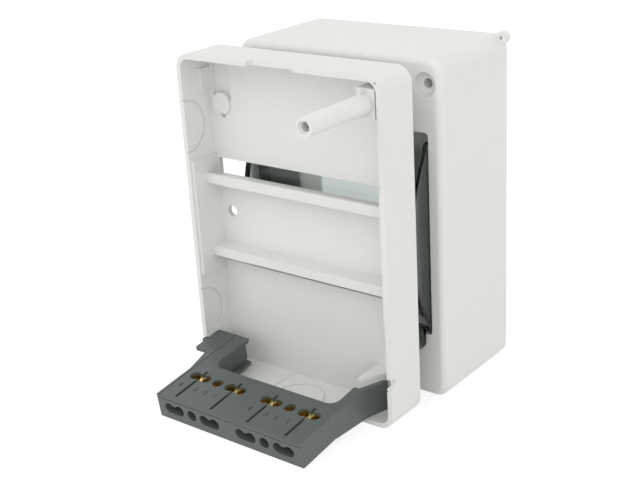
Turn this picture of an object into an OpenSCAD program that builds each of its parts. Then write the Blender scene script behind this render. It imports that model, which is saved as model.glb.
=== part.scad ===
/* [Enclosure] */
// Outer width of the tray and the cover
case_w = 95; // [92:1:110]
// Outer height of the tray and the cover
case_h = 135; // [132:1:160]
// Wall thickness of the mouldings
wall = 2; // [1.6:0.1:2.4]
// Outer radius of the four long corners
corner_r = 6; // [5:0.5:8]

/* [Tray] */
// Depth of the tray from its front rim to its back edge
tray_d = 19; // [18:0.5:24]
// Thickness of the tray's back plate
plate_t = 2; // [1.6:0.1:2.6]
// How far the back plate is set in from the tray's back edge
plate_inset = 1.8; // [1.2:0.1:2.5]
// Distance between the outer edges of the rail's two lips
rail_w = 35; // [35:0.5:36]
// Height of the rail's lips above the back plate
rail_d = 7.5; // [6.5:0.5:9]
// Width of each rail lip
rail_lip = 4; // [3.5:0.5:5]
// Thickness of the moulded rail
rail_t = 1.6; // [1.2:0.1:1.8]
// Height of the rail's centre above the tray's bottom
rail_z = 67.8; // [66:0.5:72]
// Radius of the wall fixing hole in the rail's channel
fixing_r = 2.4; // [2:0.1:2.8]
// Radius of the cable knock-outs in the side walls
knockout_r = 10; // [8:0.5:11]

/* [Screw post] */
// Distance of the post's axis from the right wall's outer face
post_side = 7; // [6.6:0.1:8]
// Distance of the post's axis from the top wall's outer face
post_top = 9.8; // [9:0.2:12]
// How far the post stands out in front of the tray's rim
post_reach = 33; // [25:0.5:36]
// Radius of the post's tip
post_r = 3.4; // [3:0.1:3.6]
// Radius of the screw hole in the post
post_bore_r = 1.75; // [1.4:0.05:2]

/* [Cover] */
// Depth of the cover from its front face to its open back
cover_d = 47; // [44:1:60]
// Radius of the cover's soft front edge
edge_r = 3; // [2:0.5:4]
// Width of the module window behind the door
window_w = 72; // [54:1:74]
// Height of the module window behind the door
window_h = 45; // [40:1:48]
// Depth of the door's recess in the front face
recess_d = 9.5; // [9:0.5:12]
// Radius of the cover screw's hole
screw_hole_r = 1.9; // [1.7:0.1:2.2]
// Radius of the countersunk pocket round the cover screw
screw_pocket_r = 4.6; // [4:0.1:5]

/* [Door] */
// How far the middle of the door bulges in front of the cover
door_bulge = 11; // [8:0.5:11.5]
// Thickness of the tinted door
door_t = 2; // [1.6:0.1:2.4]
// Gap between the door and the sides of its recess
door_gap = 0.4; // [0.3:0.05:0.6]
// Radius of the door's hinge pins
pin_r = 1.5; // [1.2:0.1:1.6]
// Radial clearance of the hinge pins in their sockets
pin_gap = 0.08; // [0.05:0.01:0.1]

/* [Terminal carrier] */
// Length of the terminal bar of the carrier
bar_w = 71.4; // [70:0.2:73]
// Depth of the terminal bar of the carrier
bar_d = 25; // [24:0.5:27]
// Height of the terminal bar of the carrier
bar_h = 10.3; // [10:0.1:12]
// How far the bar stands out in front of the tray's rim
bar_reach = 38; // [36:0.5:42]
// Angle at which the carrier leans down on its front edge
carrier_lean = 7.5; // [7:0.1:8]
// Thickness of the carrier's lid
lid_t = 1.2; // [1:0.1:1.4]
// Distance between the two terminals of a pair
pair_pitch = 5.3; // [5.2:0.05:5.6]
// Distance from the middle terminal to the middle of each pair
group_pitch = 9.1; // [9:0.05:9.3]
// Distance between the middle terminals of the two groups
bank_pitch = 36.2; // [36:0.1:36.6]
// Radius of the wire entries in the lid
entry_r = 2.3; // [2.1:0.05:2.4]
// Radius of the screwdriver openings in the front
driver_r = 2.25; // [2.1:0.05:2.35]
// Radius of the wire holes in the brass bars
wire_r = 1.9; // [1.6:0.05:2]
// Radius of the clamp screws' threads
clamp_r = 1.5; // [1.3:0.05:1.6]

/* [Arrangement] */
// Gap between the tray's back edge and the cover's front face
stand_gap = 12; // [12:0.5:40]
// How far the tray stands to the left of the cover
stand_shift = 4.2; // [0:0.1:8]

/* [Hidden] */
$fn = 48;
arc_fn = 240;
slack = 0.3;
cut = 0.5;
white = [0.87, 0.87, 0.85];
slate = [0.35, 0.38, 0.39];
smoke = [0.12, 0.15, 0.16, 0.6];
brass = [0.75, 0.56, 0.25];
steel = [0.75, 0.76, 0.78];

// Tray, with its rim at y = 0 and its back edge at y = tray_d
plate_y = tray_d - plate_inset - plate_t;
inner_r = corner_r - wall;
inner_w = case_w - 2 * wall;
inner_h = case_h - 2 * wall;
lip_y = plate_y - rail_d;
web_z = rail_w / 2 - rail_lip;
slot_rise = 4.7;
pilaster_h = 48;
pilaster_t = 1.2;
pilaster_y = 1;
slot_x = wall + pilaster_t + 0.4;
fixing_x = 8.6;
notch_low = 17.6;
notch_h = 3.8;
notch_d = 2.5;
post_x = case_w - post_side;
post_z = case_h - post_top;
post_swell = 0.8;
post_bore_d = 18;
post_base_w = 7;
post_base_h = 10;
post_base_d = 5;
pad_r = 4.6;
pad_d = 4;
pad_x = wall + 1.8 + pad_r;
pad_z = case_h - 19.5;
groove_w = 0.8;
groove_d = 0.5;
break_zs = [27, case_h - 29];
rim_notch_x = 35.4;
rim_notch_w = 22.2;
rim_notch_d = 3;
panel_x = 36;
panel_w = 29;
panel_d = 0.4;
panel_break_x = 50;

// Cover, with its front face at y = 0 and its open back at y = cover_d
recess_side = 6;
recess_low = 26.4;
recess_high = 107.4;
recess_r = 1.6;
recess_w = case_w - 2 * recess_side;
recess_h = recess_high - recess_low;
window_r = 2;
skin_y = 1;
screw_pocket_d = 2.5;
screw_boss_r = 5;
screw_boss_end = cover_d - post_reach;
lug_r = 2.4;
lug_hole_r = 0.7;
lug_t = 3;
lug_over = 1.4;

// Door, hinged near the top of its recess
hinge_y = 3;
hinge_z = recess_high - 8;
door_top = hinge_z + 4;
door_low = recess_low + 0.6;
door_x = recess_side + door_gap;
door_w = recess_w - 2 * door_gap;
door_front = 0.5;
door_corner = recess_r - door_gap;
cheek_t = 1.8;
cheek_y = 5.2;
pin_len = door_gap + wall - 0.4;
lip_drop = 6;
lip_rise = 5;
lip_t = 2;
lip_side = 2;
lip_r = 3;
door_mid = (door_top + door_low) / 2;
half_chord = (door_top - door_low) / 2;
sagitta = door_bulge + door_front;
door_r = (half_chord * half_chord + sagitta * sagitta) / (2 * sagitta);

// Carrier, with its front bottom edge along x before it leans
bar_offset = 0.6;
carrier_x = (case_w - bar_w) / 2 - bar_offset;
lid_inset = 1.2;
body_h = bar_h - lid_t;
arm_end = bar_reach + 9;
arm_w = 7.7;
arm_web_t = 1.5;
arm_lap = 0.6;
arm_drop = 2.2;
flare_start = 19.5;
flare_end = bar_reach - 5.5;
flare_out = 2.7;
wing_x = wall + slack - carrier_x;
wing_t = 1.8;
tab_reach = 1.6;
tab_l = 2.6;
tab_y = bar_reach + 0.2;
corner_in = 4;
thin_w = 3.5;
thin_end = bar_reach;
thin_flare = 1.4;
sweep_x = bar_w + 5.6;
sweep_t = 1.6;
hook_x = carrier_x + bar_w - thin_w;
hook_t = 1.2;
hook_y = 0.6;
hook_z = bar_h * cos(carrier_lean) + arm_end * sin(carrier_lean) + slack;
tab_low = (bar_h - wing_t) * cos(carrier_lean) + tab_y * sin(carrier_lean) - slack;
tab_high = bar_h * cos(carrier_lean) + (tab_y + tab_l) * sin(carrier_lean) + slack;

// Terminals in the carrier's bar
floor_t = 1.5;
terminal_y = 16.5;
brass_d = 6.6;
brass_h = body_h - floor_t - 0.1;
brass_w = 2 * (group_pitch + pair_pitch / 2 + wire_r) + 2.4;
pocket_gap = 0.15;
terminal_z = floor_t + brass_h / 2;
wire_d = brass_h - 1.2;
thread_gap = 0.08;
waist_w = 2.6;
slit_w = 1.2;
slit_back = 1.8;
slit_front = 2;
head_r = 1.95;
head_l = 2;
head_gap = 0.5;
tip_in = 1;
driver_slot_w = 0.7;
driver_slot_d = 0.8;

// The arrangement, centred on the box round it
tray_x = -stand_shift;
tray_y = -stand_gap - tray_d;
front_y = tray_y - bar_reach - bar_h * sin(carrier_lean);
mid_x = (tray_x + case_w + lug_over) / 2;
mid_y = (front_y + cover_d) / 2;

module in_cover() translate([-mid_x, -mid_y, 0]) children();
module in_tray() in_cover() translate([tray_x, tray_y, 0]) children();
module in_carrier() in_tray() translate([carrier_x, -bar_reach, 0]) rotate([carrier_lean, 0, 0]) children();

// A rectangle with round corners, drawn from its low corner
module round_rect(w, h, r) {
    translate([r, 0]) square([w - 2 * r, h]);
    translate([0, r]) square([w, h - 2 * r]);
    for (x = [r, w - r], y = [r, h - r]) translate([x, y]) circle(r);
}

// The same outline as an upright slab, d thick along y
module slab(x, y, z, w, d, h, r) {
    translate([x, y + d, z]) rotate([90, 0, 0]) linear_extrude(d) round_rect(w, h, r);
}

// A round bar along y, with its own radius at the low end
module rod(x, y, z, r, d, tip_r) {
    translate([x, y, z]) rotate([-90, 0, 0]) cylinder(r1 = is_undef(tip_r) ? r : tip_r, r2 = r, h = d);
}

// A round bar along x
module pin(x, y, z, r, l) {
    translate([x, y, z]) rotate([0, 90, 0]) cylinder(r = r, h = l);
}

// ---------- tray ----------

module tray_shell() {
    difference() {
        slab(0, 0, 0, case_w, tray_d, case_h, corner_r);
        slab(wall, -cut, wall, inner_w, plate_y + cut, inner_h, inner_r);
        slab(wall, plate_y + plate_t, wall, inner_w, plate_inset + cut, inner_h, inner_r);
    }
}

// One lip of the rail and the web that carries it; side is -1 below, 1 above
module rail_side(side) {
    low = side > 0 ? 0 : -1;
    translate([wall - cut, lip_y, rail_z + side * web_z + low * rail_t])
        cube([inner_w + 2 * cut, rail_d + cut, rail_t]);
    translate([wall - cut, lip_y, rail_z + side * web_z + low * rail_lip])
        cube([inner_w + 2 * cut, rail_t, rail_lip]);
}

module rail_slot(side) {
    h = rail_lip + slot_rise - rail_t;
    low = side > 0 ? 0 : -h;
    translate([slot_x, plate_y - cut, rail_z + side * (web_z + rail_t) + low])
        cube([case_w - 2 * slot_x, plate_t + 2 * cut, h]);
}

// Thickened side walls that carry the rail's ends
module pilasters() {
    for (x = [wall - cut, case_w - wall - pilaster_t])
        translate([x, pilaster_y, rail_z - pilaster_h / 2])
            cube([pilaster_t + cut, plate_y - pilaster_y + cut, pilaster_h]);
}

// Long post that takes the cover's screw
module screw_post() {
    base_y = plate_y - post_base_d;
    translate([post_x - post_base_w / 2, base_y, post_z - post_base_h / 2])
        cube([post_base_w, post_base_d + cut, post_base_h]);
    rod(post_x, -post_reach, post_z, post_r + post_swell, post_reach + base_y + cut, post_r);
}

module corner_pad() {
    translate([pad_x - pad_r, plate_y - pad_d, pad_z])
        cube([2 * pad_r, pad_d + cut, case_h - wall - pad_z + cut]);
    rod(pad_x, plate_y - pad_d, pad_z, pad_r, pad_d + cut);
}

// Fixed hook that holds down the carrier's thin arm
module arm_hook() {
    end = plate_y + cut;
    translate([hook_x, 0, hook_z]) linear_extrude(hook_t)
        polygon([[0, end], [0, hook_y], [1.6, hook_y], [7.4, arm_end - bar_reach + 2], [7.4, end]]);
}

// Half-round break line of a cable knock-out, cut into the wall that lies at x
module side_break(x, z) {
    difference() {
        pin(x, 0, z, knockout_r + groove_w, groove_d + cut);
        pin(x - cut, 0, z, knockout_r, groove_d + 3 * cut);
    }
}

// Thin panel in the bottom wall, with a half-round break line at the rim
module floor_panel() {
    translate([panel_x, -cut, wall - panel_d]) cube([panel_w, plate_y + cut, panel_d + cut]);
    translate([panel_break_x, 0, wall - panel_d - groove_d]) difference() {
        cylinder(r = knockout_r + groove_w, h = groove_d + cut);
        translate([0, 0, -cut]) cylinder(r = knockout_r, h = groove_d + 3 * cut);
    }
}

module base_tray() color(white) in_tray() difference() {
    union() {
        tray_shell();
        pilasters();
        for (side = [-1, 1]) rail_side(side);
        screw_post();
        corner_pad();
        arm_hook();
    }
    for (side = [-1, 1]) rail_slot(side);
    rod(fixing_x, plate_y - cut, rail_z, fixing_r, plate_t + 2 * cut);
    rod(post_x, -post_reach - cut, post_z, post_bore_r, post_bore_d + cut);
    for (z = break_zs) {
        side_break(wall - groove_d, z);
        side_break(case_w - wall - cut, z);
    }
    floor_panel();
    translate([rim_notch_x, -cut, case_h - wall - cut]) cube([rim_notch_w, rim_notch_d + cut, wall + 2 * cut]);
    translate([case_w - wall - cut, -cut, notch_low]) cube([wall + 2 * cut, notch_d + cut, notch_h]);
    translate([-cut, -cut, tab_low]) cube([wall + 2 * cut, tab_l + 2 * cut, tab_high - tab_low]);
}

// ---------- cover ----------

// A corner of the cover: a round post along y with a soft front end
module soft_post(r, edge, d) {
    rotate([-90, 0, 0]) rotate_extrude($fn = 32) polygon(concat([[0, 0]],
        [for (a = [0 : 15 : 90]) [r - edge + edge * sin(a), edge - edge * cos(a)]],
        [[r, d], [0, d]]));
}

module soft_box(inset, d, r, edge) {
    hull() for (x = [inset + r, case_w - inset - r], z = [inset + r, case_h - inset - r])
        translate([x, inset, z]) soft_post(r, edge, d);
}

module door_recess(grow, y, d) {
    slab(recess_side - grow, y, recess_low - grow, recess_w + 2 * grow, d, recess_h + 2 * grow, recess_r + grow);
}

module sealing_lug() {
    rod(case_w + lug_over - lug_r, cover_d - lug_t, case_h + lug_over - lug_r, lug_r, lug_t);
}

module front_cover() color(white) in_cover() difference() {
    union() {
        difference() {
            soft_box(0, cover_d, corner_r, edge_r);
            soft_box(wall, cover_d, inner_r, min(edge_r, inner_r) - 0.5);
        }
        door_recess(wall, skin_y, recess_d + wall - skin_y);
        rod(post_x, skin_y, post_z, screw_boss_r, screw_boss_end - skin_y);
        sealing_lug();
    }
    door_recess(0, -cut, recess_d + cut);
    slab((case_w - window_w) / 2, 0, rail_z - window_h / 2, window_w, recess_d + wall + cut, window_h, window_r);
    rod(post_x, -cut, post_z, screw_pocket_r, screw_pocket_d + cut);
    rod(post_x, 0, post_z, screw_hole_r, screw_boss_end + cut);
    pin(recess_side - wall - cut, hinge_y, hinge_z, pin_r + pin_gap, recess_w + 2 * wall + 2 * cut);
    rod(case_w + lug_over - lug_r, cover_d - lug_t - cut, case_h + lug_over - lug_r, lug_hole_r, lug_t + 2 * cut);
}

// ---------- door ----------

// The door's bulged outline, reaching back to the plane y = deep
module bulge(x, w, r, deep, corner) {
    intersection() {
        translate([x, door_r - door_bulge, door_mid]) rotate([0, 90, 0]) cylinder(r = r, h = w, $fn = arc_fn);
        slab(x, -2 * sagitta, door_low, w, 2 * sagitta + deep, 2 * half_chord, corner);
    }
}

module door() color(smoke) in_cover() {
    difference() {
        bulge(door_x, door_w, door_r, cheek_y, door_corner);
        bulge(door_x + cheek_t, door_w - 2 * cheek_t, door_r - door_t, cheek_y + cut, door_corner / 2);
        translate([door_x + cheek_t, 0, 0]) cube([door_w - 2 * cheek_t, 2 * cheek_y, case_h]);
    }
    slab(door_x + lip_side, -door_front - lip_t, recess_low - lip_drop,
        door_w - 2 * lip_side, lip_t, lip_drop + lip_rise, lip_r);
    pin(door_x - pin_len, hinge_y, hinge_z, pin_r, pin_len + cheek_t);
    pin(door_x + door_w - cheek_t, hinge_y, hinge_z, pin_r, pin_len + cheek_t);
}

// ---------- terminal carrier ----------

function bank_x(bank) = bar_w / 2 + bank * bank_pitch / 2;
terminals = [for (side = [-1, 0, 1]) for (half = side == 0 ? [0] : [-1, 1])
    side * group_pitch + half * pair_pitch / 2];

// Openings over the five terminals of one bank: a pair, a single and a pair
module terminal_openings(bank, r, waist) {
    for (x = terminals) translate([bank_x(bank) + x, 0]) circle(r);
    for (side = [-1, 1]) translate([bank_x(bank) + side * group_pitch - pair_pitch / 2, -waist / 2])
        square([pair_pitch, waist]);
}

// Inner corner between the bar and an arm; side is 1 where the arm lies at low x
module inside_corner(x, side) {
    translate([x, bar_d]) mirror([side < 0 ? 1 : 0, 0]) difference() {
        translate([-cut, -cut]) square(corner_in + cut);
        translate([corner_in, corner_in]) circle(corner_in);
    }
}

module lid_plan() {
    translate([lid_inset, 0]) square([bar_w - 2 * lid_inset, bar_d]);
    translate([lid_inset, 0]) square([arm_w - lid_inset, arm_end]);
    translate([bar_w - thin_w, 0]) square([thin_w - lid_inset, thin_end]);
    inside_corner(arm_w, 1);
    inside_corner(bar_w - thin_w, -1);
}

// Outer top face beside the lid: a rim on the bar, a flare and the wing on the wide arm
module rim_plan() {
    polygon([[0, 0], [lid_inset, 0], [lid_inset, arm_end], [wing_x, arm_end], [wing_x, flare_end],
        [-flare_out, flare_end], [0, flare_start]]);
    polygon([[bar_w - lid_inset, 0], [bar_w, 0], [bar_w, flare_start], [bar_w + thin_flare, thin_end],
        [bar_w - lid_inset, thin_end]]);
}

module upright(points, low, high) {
    translate([0, 0, low]) linear_extrude(high - low) polygon(points);
}

module wide_arm() {
    translate([0, 0, bar_h - wing_t]) linear_extrude(wing_t) rim_plan();
    translate([arm_w - arm_lap - arm_web_t, bar_d - cut, -arm_drop])
        cube([arm_web_t, arm_end - bar_d - arm_lap + cut, body_h + arm_drop]);
    upright([[0, flare_start - 3], [-flare_out, flare_end], [-flare_out, arm_end], [arm_web_t - flare_out, arm_end],
        [arm_web_t - flare_out, flare_end], [arm_web_t, flare_start - 3]], 0, bar_h - wing_t + cut);
    translate([-flare_out, arm_end - arm_web_t, 0]) cube([arm_w - arm_lap + flare_out, arm_web_t, body_h]);
    translate([wing_x - tab_reach, tab_y, bar_h - wing_t]) cube([tab_reach + cut, tab_l, wing_t]);
}

module thin_arm() {
    inner = bar_w - thin_w;
    upright([[inner, bar_d - cut], [inner, thin_end], [bar_w - lid_inset, thin_end], [bar_w - lid_inset, bar_d - cut]],
        0, body_h);
    upright([[bar_w - lid_inset, 0], [bar_w, 0], [bar_w, flare_start], [bar_w + thin_flare, thin_end],
        [sweep_x, arm_end], [sweep_x - sweep_t, arm_end], [bar_w - lid_inset, thin_end]], 0, bar_h);
    upright([[bar_w - sweep_t, bar_d], [bar_w + thin_flare - sweep_t, thin_end], [sweep_x - sweep_t, arm_end],
        [sweep_x, arm_end], [bar_w + thin_flare, thin_end], [bar_w, flare_start]], -arm_drop, cut);
}

module carrier_body() color(slate) in_carrier() difference() {
    union() {
        linear_extrude(body_h) union() {
            square([bar_w, bar_d]);
            inside_corner(arm_w, 1);
            inside_corner(bar_w - thin_w, -1);
        }
        wide_arm();
        thin_arm();
    }
    for (bank = [-1, 1]) {
        translate([bank_x(bank) - brass_w / 2 - pocket_gap, terminal_y - brass_d / 2 - pocket_gap, floor_t])
            cube([brass_w + 2 * pocket_gap, brass_d + 2 * pocket_gap, body_h]);
        translate([0, terminal_y - brass_d / 2, terminal_z]) rotate([90, 0, 0])
            linear_extrude(terminal_y) terminal_openings(bank, driver_r, waist_w);
    }
}

module carrier_lid() color(slate) in_carrier() translate([0, 0, body_h]) difference() {
    linear_extrude(lid_t) lid_plan();
    translate([0, terminal_y, -cut]) linear_extrude(lid_t + 2 * cut) for (bank = [-1, 1]) {
        terminal_openings(bank, entry_r, waist_w);
        for (side = [-1, 1]) translate([bank_x(bank) + side * group_pitch - slit_w / 2, slit_front - terminal_y])
            square([slit_w, terminal_y - slit_front + entry_r + slit_back]);
    }
}

module terminal_bar(bank) color(brass) in_carrier() difference() {
    translate([bank_x(bank) - brass_w / 2, terminal_y - brass_d / 2, floor_t]) cube([brass_w, brass_d, brass_h]);
    for (x = terminals) {
        translate([bank_x(bank) + x, terminal_y, floor_t + brass_h - wire_d]) cylinder(r = wire_r, h = wire_d + cut);
        rod(bank_x(bank) + x, terminal_y - brass_d / 2 - cut, terminal_z, clamp_r + thread_gap, brass_d / 2 + cut);
    }
}

module clamp_screws(bank) color(steel) in_carrier() for (x = terminals) {
    face = terminal_y - brass_d / 2;
    difference() {
        union() {
            rod(bank_x(bank) + x, face - head_gap - cut, terminal_z, clamp_r,
                head_gap + cut + brass_d / 2 - wire_r + tip_in);
            rod(bank_x(bank) + x, face - head_gap - head_l, terminal_z, head_r, head_l);
        }
        translate([bank_x(bank) + x - head_r - cut, face - head_gap - head_l - cut, terminal_z - driver_slot_w / 2])
            cube([2 * head_r + 2 * cut, driver_slot_d + cut, driver_slot_w]);
    }
}

module neutral_bar() terminal_bar(-1);
module earth_bar() terminal_bar(1);
module neutral_screws() clamp_screws(-1);
module earth_screws() clamp_screws(1);

base_tray();
front_cover();
door();
carrier_body();
carrier_lid();
neutral_bar();
earth_bar();
neutral_screws();
earth_screws();
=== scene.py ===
import bpy
import bmesh
import math
import numpy as np
from mathutils import Matrix, Vector


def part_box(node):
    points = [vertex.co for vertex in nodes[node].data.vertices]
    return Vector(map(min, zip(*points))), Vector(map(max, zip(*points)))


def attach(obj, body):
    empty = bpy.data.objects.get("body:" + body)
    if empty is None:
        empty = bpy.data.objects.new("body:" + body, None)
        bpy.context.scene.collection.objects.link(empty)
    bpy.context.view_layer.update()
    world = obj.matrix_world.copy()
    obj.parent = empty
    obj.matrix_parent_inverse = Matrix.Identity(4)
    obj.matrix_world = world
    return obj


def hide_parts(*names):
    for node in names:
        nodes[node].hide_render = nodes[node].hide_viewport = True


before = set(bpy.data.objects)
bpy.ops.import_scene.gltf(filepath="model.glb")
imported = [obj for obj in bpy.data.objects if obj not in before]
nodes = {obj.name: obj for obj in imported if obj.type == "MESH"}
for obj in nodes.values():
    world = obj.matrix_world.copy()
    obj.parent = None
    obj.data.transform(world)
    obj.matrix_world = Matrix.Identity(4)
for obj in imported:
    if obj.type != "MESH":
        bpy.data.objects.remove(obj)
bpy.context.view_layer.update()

# The camera stands in front of the open tray, to the right and above
cameraSettings = {
    "place": (0.26488, -0.32883, 0.22462),  # metres
    "turn": 0.679,  # about the upright axis, to the left
    "tilt": 0.368,  # downwards
    "roll": -0.059,
    "lens": 65.39,
    "sensor": 36.0,
    "near": 0.01,  # metres
}


def addCamera(s):
    turn, tilt, roll = s["turn"], s["tilt"], s["roll"]
    forward = Vector((-math.sin(turn) * math.cos(tilt),
                      math.cos(turn) * math.cos(tilt), -math.sin(tilt)))
    level = Vector((math.cos(turn), math.sin(turn), 0))
    up = level.cross(forward)
    side = math.cos(roll) * level + math.sin(roll) * up
    top = -math.sin(roll) * level + math.cos(roll) * up
    camera = bpy.data.objects.new("camera", bpy.data.cameras.new("camera"))
    camera.data.lens = s["lens"]
    camera.data.sensor_width = s["sensor"]
    camera.data.clip_start = s["near"]
    bpy.context.scene.collection.objects.link(camera)
    axes = Matrix((side, top, -forward)).transposed()
    camera.matrix_world = Matrix.Translation(s["place"]) @ axes.to_4x4()
    bpy.context.scene.camera = camera


addCamera(cameraSettings)
bpy.context.scene.view_settings.view_transform = "Standard"


def addNode(tree, kind, **values):
    node = tree.nodes.new(kind)
    for key, value in values.items():
        setattr(node, key, value)
    return node


def newGroup(name, inputs, outputs):
    group = bpy.data.node_groups.new(name, "ShaderNodeTree")
    for label, kind, value in inputs:
        socket = group.interface.new_socket(label, in_out="INPUT", socket_type=kind)
        if value is not None:
            socket.default_value = value
    for label, kind in outputs:
        group.interface.new_socket(label, in_out="OUTPUT", socket_type=kind)
    return group, group.nodes.new("NodeGroupInput"), group.nodes.new("NodeGroupOutput")


def newMaterial(name):
    material = bpy.data.materials.new(name)
    material.use_nodes = True
    tree = material.node_tree
    return material, tree, tree.nodes["Principled BSDF"]


# A fine spark-eroded grain, faint flow clouding and a little unevenness in the gloss
skinSettings = {
    "cloudScale": 55,
    "cloudDetail": 3,
    "cloudRange": (0.3, 0.7),
    "grainDetail": 2,
    "grainHeight": 0.00004,  # metres
    "glossSpread": 0.12,
}


def buildSkinGroup(s):
    number = "NodeSocketFloat"
    group, gin, gout = newGroup("mouldedSkin",
        [("Vector", "NodeSocketVector", None), ("Colour", "NodeSocketColor", (1, 1, 1, 1)),
         ("Clouding", number, 0.04), ("Grain scale", number, 4000.0),
         ("Grain depth", number, 0.1), ("Roughness", number, 0.45)],
        [("Colour", "NodeSocketColor"), ("Roughness", number), ("Normal", "NodeSocketVector")])
    link = group.links.new
    cloud = addNode(group, "ShaderNodeTexNoise")
    cloud.inputs["Scale"].default_value = s["cloudScale"]
    cloud.inputs["Detail"].default_value = s["cloudDetail"]
    link(gin.outputs["Vector"], cloud.inputs["Vector"])
    toShade = addNode(group, "ShaderNodeMapRange")
    toShade.inputs["From Min"].default_value = s["cloudRange"][0]
    toShade.inputs["From Max"].default_value = s["cloudRange"][1]
    toShade.inputs["To Max"].default_value = 1
    link(cloud.outputs["Fac"], toShade.inputs["Value"])
    dip = addNode(group, "ShaderNodeMath", operation="SUBTRACT")
    dip.inputs[0].default_value = 1
    link(gin.outputs["Clouding"], dip.inputs[1])
    link(dip.outputs[0], toShade.inputs["To Min"])
    tint = addNode(group, "ShaderNodeMix", data_type="RGBA", blend_type="MULTIPLY")
    tint.inputs["Factor"].default_value = 1
    link(gin.outputs["Colour"], tint.inputs["A"])
    link(toShade.outputs["Result"], tint.inputs["B"])
    link(tint.outputs["Result"], gout.inputs["Colour"])
    grain = addNode(group, "ShaderNodeTexNoise")
    grain.inputs["Detail"].default_value = s["grainDetail"]
    link(gin.outputs["Vector"], grain.inputs["Vector"])
    link(gin.outputs["Grain scale"], grain.inputs["Scale"])
    bump = addNode(group, "ShaderNodeBump")
    bump.inputs["Distance"].default_value = s["grainHeight"]
    link(grain.outputs["Fac"], bump.inputs["Height"])
    link(gin.outputs["Grain depth"], bump.inputs["Strength"])
    link(bump.outputs["Normal"], gout.inputs["Normal"])
    uneven = addNode(group, "ShaderNodeMath", operation="MULTIPLY_ADD")
    uneven.inputs[1].default_value = s["glossSpread"]
    link(cloud.outputs["Fac"], uneven.inputs[0])
    shift = addNode(group, "ShaderNodeMath", operation="SUBTRACT")
    shift.inputs[1].default_value = s["glossSpread"] / 2
    link(gin.outputs["Roughness"], shift.inputs[0])
    link(shift.outputs[0], uneven.inputs[2])
    link(uneven.outputs[0], gout.inputs["Roughness"])
    return group


mouldedSkin = buildSkinGroup(skinSettings)


# A material whose colour, roughness and normal come through the skin group
def skinnedMaterial(s):
    material, tree, shader = newMaterial(s["name"])
    coords = addNode(tree, "ShaderNodeTexCoord")
    skin = addNode(tree, "ShaderNodeGroup", node_tree=mouldedSkin)
    tree.links.new(coords.outputs["Object"], skin.inputs["Vector"])
    for label, key in (("Colour", "colour"), ("Clouding", "clouding"), ("Grain scale", "grainScale"),
                       ("Grain depth", "grainDepth"), ("Roughness", "roughness")):
        skin.inputs[label].default_value = s[key]
    for label, target in (("Colour", "Base Color"), ("Roughness", "Roughness"), ("Normal", "Normal")):
        tree.links.new(skin.outputs[label], shader.inputs[target])
    return material, tree, shader


whiteSettings = {"name": "whiteMoulding", "colour": (0.775, 0.785, 0.752, 1), "clouding": 0.02,
                 "grainScale": 3500.0, "grainDepth": 0.12, "roughness": 0.42, "shine": 0.45}
slateSettings = {"name": "slateMoulding", "colour": (0.097, 0.113, 0.109, 1), "clouding": 0.08,
                 "grainScale": 3800.0, "grainDepth": 0.2, "roughness": 0.4, "shine": 0.5}
markPaint = {"name": "darkMark", "colour": (0.035, 0.042, 0.041, 1), "clouding": 0.05,
             "grainScale": 3800.0, "grainDepth": 0.1, "roughness": 0.5, "shine": 0.4}


def mouldedPlastic(s):
    material, tree, shader = skinnedMaterial(s)
    shader.inputs["Specular IOR Level"].default_value = s["shine"]
    return material


whitePlastic = mouldedPlastic(whiteSettings)
slatePlastic = mouldedPlastic(slateSettings)

# Tinted clear plastic: light loses colour along its way through the wall, and the skin has faint ripples
smokeSettings = {"name": "smokedPlastic", "colour": (1, 1, 1, 1), "clouding": 0.02, "grainScale": 220.0,
                 "grainDepth": 0.05, "roughness": 0.07, "ior": 1.49, "density": 330.0,
                 "tint": (0.0, 0.13, 0.08, 1)}


def tintedPlastic(s):
    material, tree, shader = skinnedMaterial(s)
    shader.inputs["Transmission Weight"].default_value = 1
    shader.inputs["IOR"].default_value = s["ior"]
    depth = addNode(tree, "ShaderNodeVolumeAbsorption")
    depth.inputs["Density"].default_value = s["density"]
    depth.inputs["Color"].default_value = s["tint"]
    tree.links.new(depth.outputs["Volume"], tree.nodes["Material Output"].inputs["Volume"])
    return material


smokedPlastic = tintedPlastic(smokeSettings)

brassSettings = {"name": "sawnBrass", "colour": (0.95, 0.73, 0.32, 1), "clouding": 0.2,
                 "grainScale": 1800.0, "grainDepth": 0.3, "roughness": 0.3}
# The screws' steel colour is darkened far below bare steel: painted shade, standing in for the dark of
# the deep driver holes that the heads sit in
shadeDarkScrewSettings = {"name": "steelDarkenedAsShade", "colour": (0.25, 0.25, 0.26, 1), "clouding": 0.15,
                 "grainScale": 2500.0, "grainDepth": 0.2, "roughness": 0.3}


def metal(s):
    material, tree, shader = skinnedMaterial(s)
    shader.inputs["Metallic"].default_value = 1
    return material


brassMetal = metal(brassSettings)
shadeDarkScrewMetal = metal(shadeDarkScrewSettings)
markPlastic = mouldedPlastic(markPaint)
print("materials made")

# Forms that shape a moulding: an outline carried straight along a third direction, all sizes in mm
mm = 0.001
roundSides = 40  # of a round form whose settings name no number of sides


# A point is its corner's two outline measures along u and v, plus low or high along w, plus the origin.
# Side faces join the near and far ends, two end faces close them, and the far end is the outline
# drawn larger about its middle by the factor grow
def prism(outline, low, high, axes, origin, grow=1.0):
    flat = np.asarray(outline, float)
    n = len(flat)
    u, v, w = (np.asarray(axis, float) for axis in axes)
    wide = flat.mean(axis=0) + grow * (flat - flat.mean(axis=0))
    near, far = (f[:, :1] * u + f[:, 1:] * v for f in (flat, wide))
    points = (np.concatenate([near + low * w, far + high * w]) + np.asarray(origin, float)) * mm
    i = np.arange(n)
    j = (i + 1) % n
    sides = np.stack([i, j, j + n, i + n], axis=1).tolist()
    return points, sides + [list(range(n))[::-1], list(range(n, 2 * n))]


# Four corners, between the lower left and the upper right one
def rectangle(x0, y0, x1, y1):
    return [(x0, y0), (x1, y0), (x1, y1), (x0, y1)]


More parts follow.
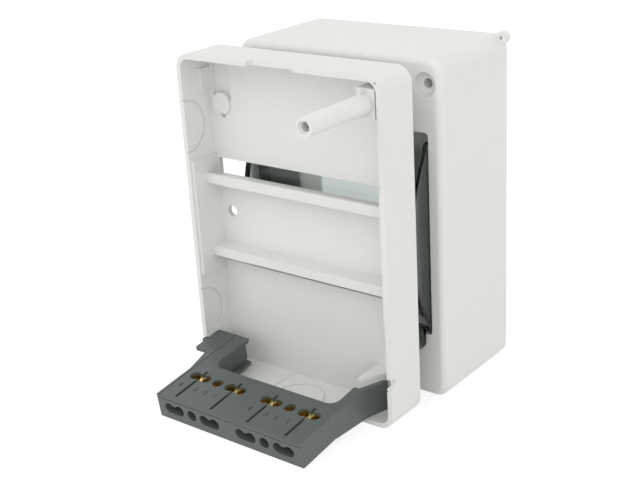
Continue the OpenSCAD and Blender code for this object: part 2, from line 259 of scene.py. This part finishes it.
# The centre plus the radius times cosine and sine of evenly spread angles
def ring(x, y, r, sides):
    turn = np.linspace(0, 2 * np.pi, sides, endpoint=False)
    return np.stack([x + r * np.cos(turn), y + r * np.sin(turn)], axis=1)


# A form from its settings: a box, a round or a free outline, carried along its span
def shapeOf(form, axes, origin):
    if "box" in form:
        outline = rectangle(*form["box"])
    elif "radius" in form:
        outline = ring(*form["centre"], form["radius"], form.get("sides", roundSides))
    else:
        outline = form["outline"]
    return prism(outline, *form["span"], axes, origin, form.get("grow", 1.0))


def shapingTool(prisms):
    points, faces, first = [], [], 0
    for corners, loops in prisms:
        points.append(corners)
        faces += [[k + first for k in loop] for loop in loops]
        first += len(corners)
    mesh = bpy.data.meshes.new("shapingTool")
    mesh.from_pydata(np.concatenate(points).tolist(), [], faces)
    work = bmesh.new()
    work.from_mesh(mesh)
    bmesh.ops.recalc_face_normals(work, faces=work.faces)
    work.to_mesh(mesh)
    work.free()
    tool = bpy.data.objects.new("shapingTool", mesh)
    bpy.context.scene.collection.objects.link(tool)
    return tool


# The mesh that an object shows once its modifiers are worked out
def meshOf(piece):
    shown = piece.evaluated_get(bpy.context.evaluated_depsgraph_get())
    return bpy.data.meshes.new_from_object(shown)


def shapeWith(piece, prisms, operation):
    tool = shapingTool(prisms)
    change = piece.modifiers.new("shape", "BOOLEAN")
    change.operation = operation
    change.solver = "EXACT"
    change.use_self = True
    change.object = tool
    bpy.context.view_layer.update()
    shaped = meshOf(piece)
    piece.modifiers.remove(change)
    shaped.name = piece.data.name
    piece.data = shaped
    bpy.data.objects.remove(tool)


# A low or high corner of a node's box at the ground, in mm
def cornerOf(name, sideX, sideY):
    low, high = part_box(name)
    return np.array([(low, high)[sideX][0], (low, high)[sideY][1], 0.0]) / mm


# The directions of a form that is drawn facing the front and goes straight back
inward = ((1, 0, 0), (0, 0, 1), (0, 1, 0))

# Tray, measured from its lower left corner, with the front rim at 0 and the back edge at its depth
traySettings = {
    "depth": 19.0,
    # Corner field, in place of the corner pad, up to the inner corner's arc
    "arc": {"wall": 2.0, "top": 133.0, "radius": 4.0, "degrees": (90, 125), "points": 8},
    "field": {"right": 13.1, "low": 110.8, "span": (11.0, 15.2)},
    "sunkField": {"box": (3.8, 114.0, 12.8, 129.5), "span": (15.0, 16.6)},
    "boss": {"centre": (8.1, 112.7), "radius": 4.4, "span": (14.2, 16.4)},
    "peepHole": {"centre": (8.3, 107.9), "radius": 1.1, "sides": 20, "span": (13.7, 17.7)},
    # Post, thinner than the solid one that it takes the place of
    "postRoom": {"centre": (88.0, 125.2), "radius": 4.6, "span": (-33.5, 0.7)},
    "post": {"centre": (88.0, 125.2), "radius": 3.3, "grow": 3.75 / 3.3, "span": (-33.0, 1.0)},
    "postFoot": {"box": (84.4, 119.6, 92.01, 130.4), "span": (0.6, 15.5)},
    "postFin": {"box": (87.5, 120.3, 88.5, 130.1), "span": (-3.0, 0.8)},
    "bore": {"centre": (88.0, 125.2), "radius": 1.75, "span": (-33.5, -15.0)},
    "boreMouth": {"centre": (88.0, 125.2), "radius": 2.3, "span": (-33.6, -32.0)},
    # Small marks
    "floorSlot": {"box": (74.1, 10.1, 76.3, 10.8), "span": (14.7, 17.7)},
    "rimPit": {"centre": (92.7, 132.7), "radius": 0.45, "sides": 16, "span": (-0.5, 1.0)},
    "wallRib": {"box": (1.8, 118.0, 3.2, 127.0), "span": (9.6, 15.5)},
    "lipNib": {"box": (90.9, 84.9, 93.2, 87.3), "span": (7.72, 9.28)},
}


def shapeTray(piece):
    s = traySettings
    origin = cornerOf("base_tray", 0, 1) - (0, s["depth"], 0)
    arc, field = s["arc"], s["field"]
    r = arc["radius"]
    turn = np.linspace(*np.radians(arc["degrees"]), arc["points"])
    bend = np.stack([arc["wall"] + r + r * np.cos(turn), arc["top"] - r + r * np.sin(turn)], axis=1)
    corners = [(bend[-1][0], field["low"]), (field["right"], field["low"]), (field["right"], arc["top"])]
    cleared = shapeOf({"outline": corners + bend.tolist(), "span": field["span"]}, inward, origin)

    def forms(*names):
        return [shapeOf(s[name], inward, origin) for name in names]

    shapeWith(piece, [cleared] + forms("sunkField", "postRoom", "floorSlot", "rimPit"), "DIFFERENCE")
    shapeWith(piece, forms("post", "postFoot", "postFin", "boss", "wallRib", "lipNib"), "UNION")
    shapeWith(piece, forms("peepHole", "bore", "boreMouth"), "DIFFERENCE")


# Cover: the window's floor closes in from both sides, to the width of three modules
coverSettings = {
    "leftStrip": {"box": (11.0, 45.0, 20.5, 90.6), "span": (9.52, 11.48)},
    "rightStrip": {"box": (74.5, 45.0, 84.0, 90.6), "span": (9.52, 11.48)},
}


def shapeCover(piece):
    origin = cornerOf("front_cover", 0, 0)
    shapeWith(piece, [shapeOf(strip, inward, origin) for strip in coverSettings.values()], "UNION")


# Carrier: the wide arm is an open channel, with a web under the lid and a foot at the bottom
carrierSettings = {
    "lean": math.radians(7.5),
    "reach": 38.0,
    "left": 11.2,
    "channel": {"box": (4.9, 25.02, 7.2, 47.1), "span": (-0.8, 8.1)},
    "web": {"box": (3.4, 24.52, 4.9, 46.4), "span": (-2.2, 9.05)},
    "foot": {"box": (3.5, 24.62, 7.1, 46.4), "span": (-2.2, -0.8)},
    # Cut along the bar, from the side
    "thinArmTaper": {"outline": [(18.0, 0.01), (18.0, -3.5), (38.0, -3.5), (38.0, -2.21)],
                     "span": (68.4, 78.4)},
    "sideSeam": {"box": (0.95, -0.5, 1.3, 47.5), "span": (10.0, 10.8)},
    "frontSeam": {"box": (-0.5, -0.5, 71.9, 0.25), "span": (8.88, 9.2)},
    # The joined openings of the four pairs of terminals
    "pairs": (8.5, 26.7, 44.7, 62.9),
    "pairHalf": 2.65,
    "driverWay": {"heights": (3.0, 6.5), "span": (-0.5, 13.0)},
    "entry": {"heights": (14.9, 18.1), "span": (8.6, 10.8)},
}


# The carrier's own directions: along the bar, back along its leaning underside, and up from it
def carrierFrame():
    s = carrierSettings
    lean = s["lean"]
    origin = cornerOf("base_tray", 0, 1) + (s["left"], -traySettings["depth"] - s["reach"], 0)
    back = (0, math.cos(lean), math.sin(lean))
    up = (0, -math.sin(lean), math.cos(lean))
    return ((1, 0, 0), back, up), origin


# One opening for each pair of terminals, as wide as the two together
def pairOpenings(opening, axes, origin):
    half = carrierSettings["pairHalf"]
    low, high = opening["heights"]
    return [prism(rectangle(x - half, low, x + half, high), *opening["span"], axes, origin)
            for x in carrierSettings["pairs"]]


def shapeCarrier(piece):
    s = carrierSettings
    axes, origin = carrierFrame()
    along, back, up = axes
    cuts = [shapeOf(s["channel"], axes, origin), shapeOf(s["thinArmTaper"], (back, up, along), origin)]
    cuts += pairOpenings(s["driverWay"], (along, up, back), origin)
    cuts += [shapeOf(s[name], axes, origin) for name in ("sideSeam", "frontSeam")]
    shapeWith(piece, cuts, "DIFFERENCE")
    shapeWith(piece, [shapeOf(s[name], axes, origin) for name in ("web", "foot")], "UNION")


# Lid: the two entries of a pair run into each other
def shapeLid(piece):
    axes, origin = carrierFrame()
    shapeWith(piece, pairOpenings(carrierSettings["entry"], axes, origin), "DIFFERENCE")


# The solids, copied with the soft edges of real mouldings, each edge in metres
edgeSettings = {
    "base_tray": {"body": "base", "material": whitePlastic, "slot": "white_plastic",
                  "edge": 0.00035, "shaping": shapeTray},
    "front_cover": {"body": "cover", "material": whitePlastic, "slot": "white_plastic",
                    "edge": 0.0003, "shaping": shapeCover},
    "door": {"body": "door", "material": smokedPlastic, "slot": "smoked_door",
             "edge": 0.0003, "shaping": None},
    "carrier_body": {"body": "base", "material": slatePlastic, "slot": "grey_plastic",
                     "edge": 0.00025, "shaping": shapeCarrier},
    "carrier_lid": {"body": "base", "material": slatePlastic, "slot": "grey_plastic",
                    "edge": 0.0002, "shaping": shapeLid},
}
softSettings = {"weld": 2e-6, "flatAngle": math.radians(0.3), "edgeAngle": math.radians(28),
                "edgeSteps": 2, "shadeWeight": 80}


# Loose triangles joined at their corners, flat fields merged, and every face shaded smooth
def tidyMesh(mesh):
    s = softSettings
    work = bmesh.new()
    work.from_mesh(mesh)
    bmesh.ops.remove_doubles(work, verts=work.verts, dist=s["weld"])
    bmesh.ops.dissolve_degenerate(work, edges=work.edges, dist=s["weld"])
    bmesh.ops.dissolve_limit(work, angle_limit=s["flatAngle"], verts=work.verts, edges=work.edges)
    for face in work.faces:
        face.smooth = True
    work.to_mesh(mesh)
    work.free()


def softenedCopy(name, dress):
    s = softSettings
    mesh = nodes[name].data.copy()
    mesh.name = name + "Soft"
    tidyMesh(mesh)
    piece = bpy.data.objects.new(name + "Soft", mesh)
    bpy.context.scene.collection.objects.link(piece)
    if dress["shaping"]:
        dress["shaping"](piece)
        tidyMesh(piece.data)
    piece.data.materials.clear()
    piece.data.materials.append(dress["material"])
    bevel = piece.modifiers.new("softEdge", "BEVEL")
    bevel.width = dress["edge"]
    bevel.segments = s["edgeSteps"]
    bevel.limit_method = "ANGLE"
    bevel.angle_limit = s["edgeAngle"]
    bevel.use_clamp_overlap = True
    level = piece.modifiers.new("evenShade", "WEIGHTED_NORMAL")
    level.weight = s["shadeWeight"]
    level.keep_sharp = True
    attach(piece, dress["body"])
    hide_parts(name)


for name, dress in edgeSettings.items():
    softenedCopy(name, dress)

metalFinish = {"neutral_bar": brassMetal, "earth_bar": brassMetal,
               "neutral_screws": shadeDarkScrewMetal, "earth_screws": shadeDarkScrewMetal}
for name, material in metalFinish.items():
    for holder in nodes[name].material_slots:
        holder.material = material
print("solids dressed")

# Numbers of the terminals, raised a little from the lid in front of each group
markSettings = {"size": 3.375, "raised": 0.06, "lidTop": 10.3, "row": 8.0,
                "places": {"4": (4.6, 40.3), "3": (12.5, 48.2), "2": (17.6, 53.2), "1": (22.6, 58.6)}}


def addMarks(s):
    axes, origin = carrierFrame()
    leaning = Matrix.Translation(Vector(origin) * mm) @ Matrix(axes).transposed().to_4x4()
    for digit, places in s["places"].items():
        text = bpy.data.curves.new("digit" + digit, "FONT")
        text.body = digit
        text.size = s["size"] * mm
        text.extrude = s["raised"] * mm
        text.align_x = "CENTER"
        drawn = bpy.data.objects.new("digitDrawn", text)
        bpy.context.scene.collection.objects.link(drawn)
        bpy.context.view_layer.update()
        flat = meshOf(drawn)
        bpy.data.objects.remove(drawn)
        for k, x in enumerate(places):
            mesh = flat.copy()
            mesh.transform(leaning @ Matrix.Translation(Vector((x, s["row"], s["lidTop"])) * mm))
            mesh.materials.clear()
            mesh.materials.append(markPlastic)
            mark = bpy.data.objects.new("digit%s_%d" % (digit, k), mesh)
            bpy.context.scene.collection.objects.link(mark)
            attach(mark, "base")


addMarks(markSettings)
print("numbers added")

# White floor and surroundings, which keep the object's shadow, and two soft lamps
stageSettings = {
    "floorSize": 6.0,  # metres
    "floorColour": (0.85, 0.85, 0.85, 1),
    "floorRoughness": 0.9,
    "floorGlow": 0.8,
    "shadowColour": (0.3, 0.3, 0.3, 1),
    "worldColour": (1, 1, 1, 1),
    "worldLevel": 0.9,
    "worldWhite": 1.0,
}


# One for a ray from the eye, a mirror or a clear wall, and nought for light on the object
def whiteToEye(tree):
    path = addNode(tree, "ShaderNodeLightPath")
    either = addNode(tree, "ShaderNodeMath", operation="MAXIMUM")
    tree.links.new(path.outputs["Is Camera Ray"], either.inputs[0])
    tree.links.new(path.outputs["Is Glossy Ray"], either.inputs[1])
    every = addNode(tree, "ShaderNodeMath", operation="MAXIMUM")
    tree.links.new(either.outputs[0], every.inputs[0])
    tree.links.new(path.outputs["Is Transmission Ray"], every.inputs[1])
    return every


def addFloor(s):
    half = s["floorSize"] / 2
    mesh = bpy.data.meshes.new("floor")
    corners = [(-half, -half, 0), (half, -half, 0), (half, half, 0), (-half, half, 0)]
    mesh.from_pydata(corners, [], [(0, 1, 2, 3)])
    floor = bpy.data.objects.new("floor", mesh)
    bpy.context.scene.collection.objects.link(floor)
    material, tree, shader = newMaterial("floorPaper")
    shader.inputs["Base Color"].default_value = s["floorColour"]
    shader.inputs["Roughness"].default_value = s["floorRoughness"]
    shader.inputs["Specular IOR Level"].default_value = 0
    seen = whiteToEye(tree)
    paper = addNode(tree, "ShaderNodeBsdfDiffuse")
    paper.inputs["Color"].default_value = s["shadowColour"]
    glow = addNode(tree, "ShaderNodeEmission")
    glow.inputs["Strength"].default_value = s["floorGlow"]
    both = addNode(tree, "ShaderNodeAddShader")
    tree.links.new(paper.outputs[0], both.inputs[0])
    tree.links.new(glow.outputs[0], both.inputs[1])
    mix = addNode(tree, "ShaderNodeMixShader")
    tree.links.new(seen.outputs[0], mix.inputs["Fac"])
    tree.links.new(shader.outputs[0], mix.inputs[1])
    tree.links.new(both.outputs[0], mix.inputs[2])
    tree.links.new(mix.outputs[0], tree.nodes["Material Output"].inputs["Surface"])
    mesh.materials.append(material)


def addWorld(s):
    world = bpy.data.worlds.new("studio")
    world.use_nodes = True
    tree = world.node_tree
    tree.nodes.clear()
    out = addNode(tree, "ShaderNodeOutputWorld")
    seen = whiteToEye(tree)
    dim = addNode(tree, "ShaderNodeBackground")
    dim.inputs["Color"].default_value = s["worldColour"]
    dim.inputs["Strength"].default_value = s["worldLevel"]
    bright = addNode(tree, "ShaderNodeBackground")
    bright.inputs["Color"].default_value = s["worldColour"]
    bright.inputs["Strength"].default_value = s["worldWhite"]
    mix = addNode(tree, "ShaderNodeMixShader")
    tree.links.new(seen.outputs[0], mix.inputs["Fac"])
    tree.links.new(dim.outputs[0], mix.inputs[1])
    tree.links.new(bright.outputs[0], mix.inputs[2])
    tree.links.new(mix.outputs[0], out.inputs["Surface"])
    bpy.context.scene.world = world


lampAim = (0, 0, 0.06)
lampSettings = [
    {"name": "keyLamp", "place": (-0.35, -1.0, 1.1), "size": 0.8, "power": 2.6},
    {"name": "sideLamp", "place": (1.0, -0.8, 0.6), "size": 0.9, "power": 2.4},
]


def addLamp(s):
    data = bpy.data.lights.new(s["name"], "AREA")
    data.shape = "SQUARE"
    data.size = s["size"]
    data.energy = s["power"]
    lamp = bpy.data.objects.new(s["name"], data)
    bpy.context.scene.collection.objects.link(lamp)
    lamp.location = s["place"]
    aim = Vector(lampAim) - lamp.location
    lamp.rotation_euler = aim.to_track_quat("-Z", "Y").to_euler()


addFloor(stageSettings)
addWorld(stageSettings)
for s in lampSettings:
    addLamp(s)
print("stage and lamps set")
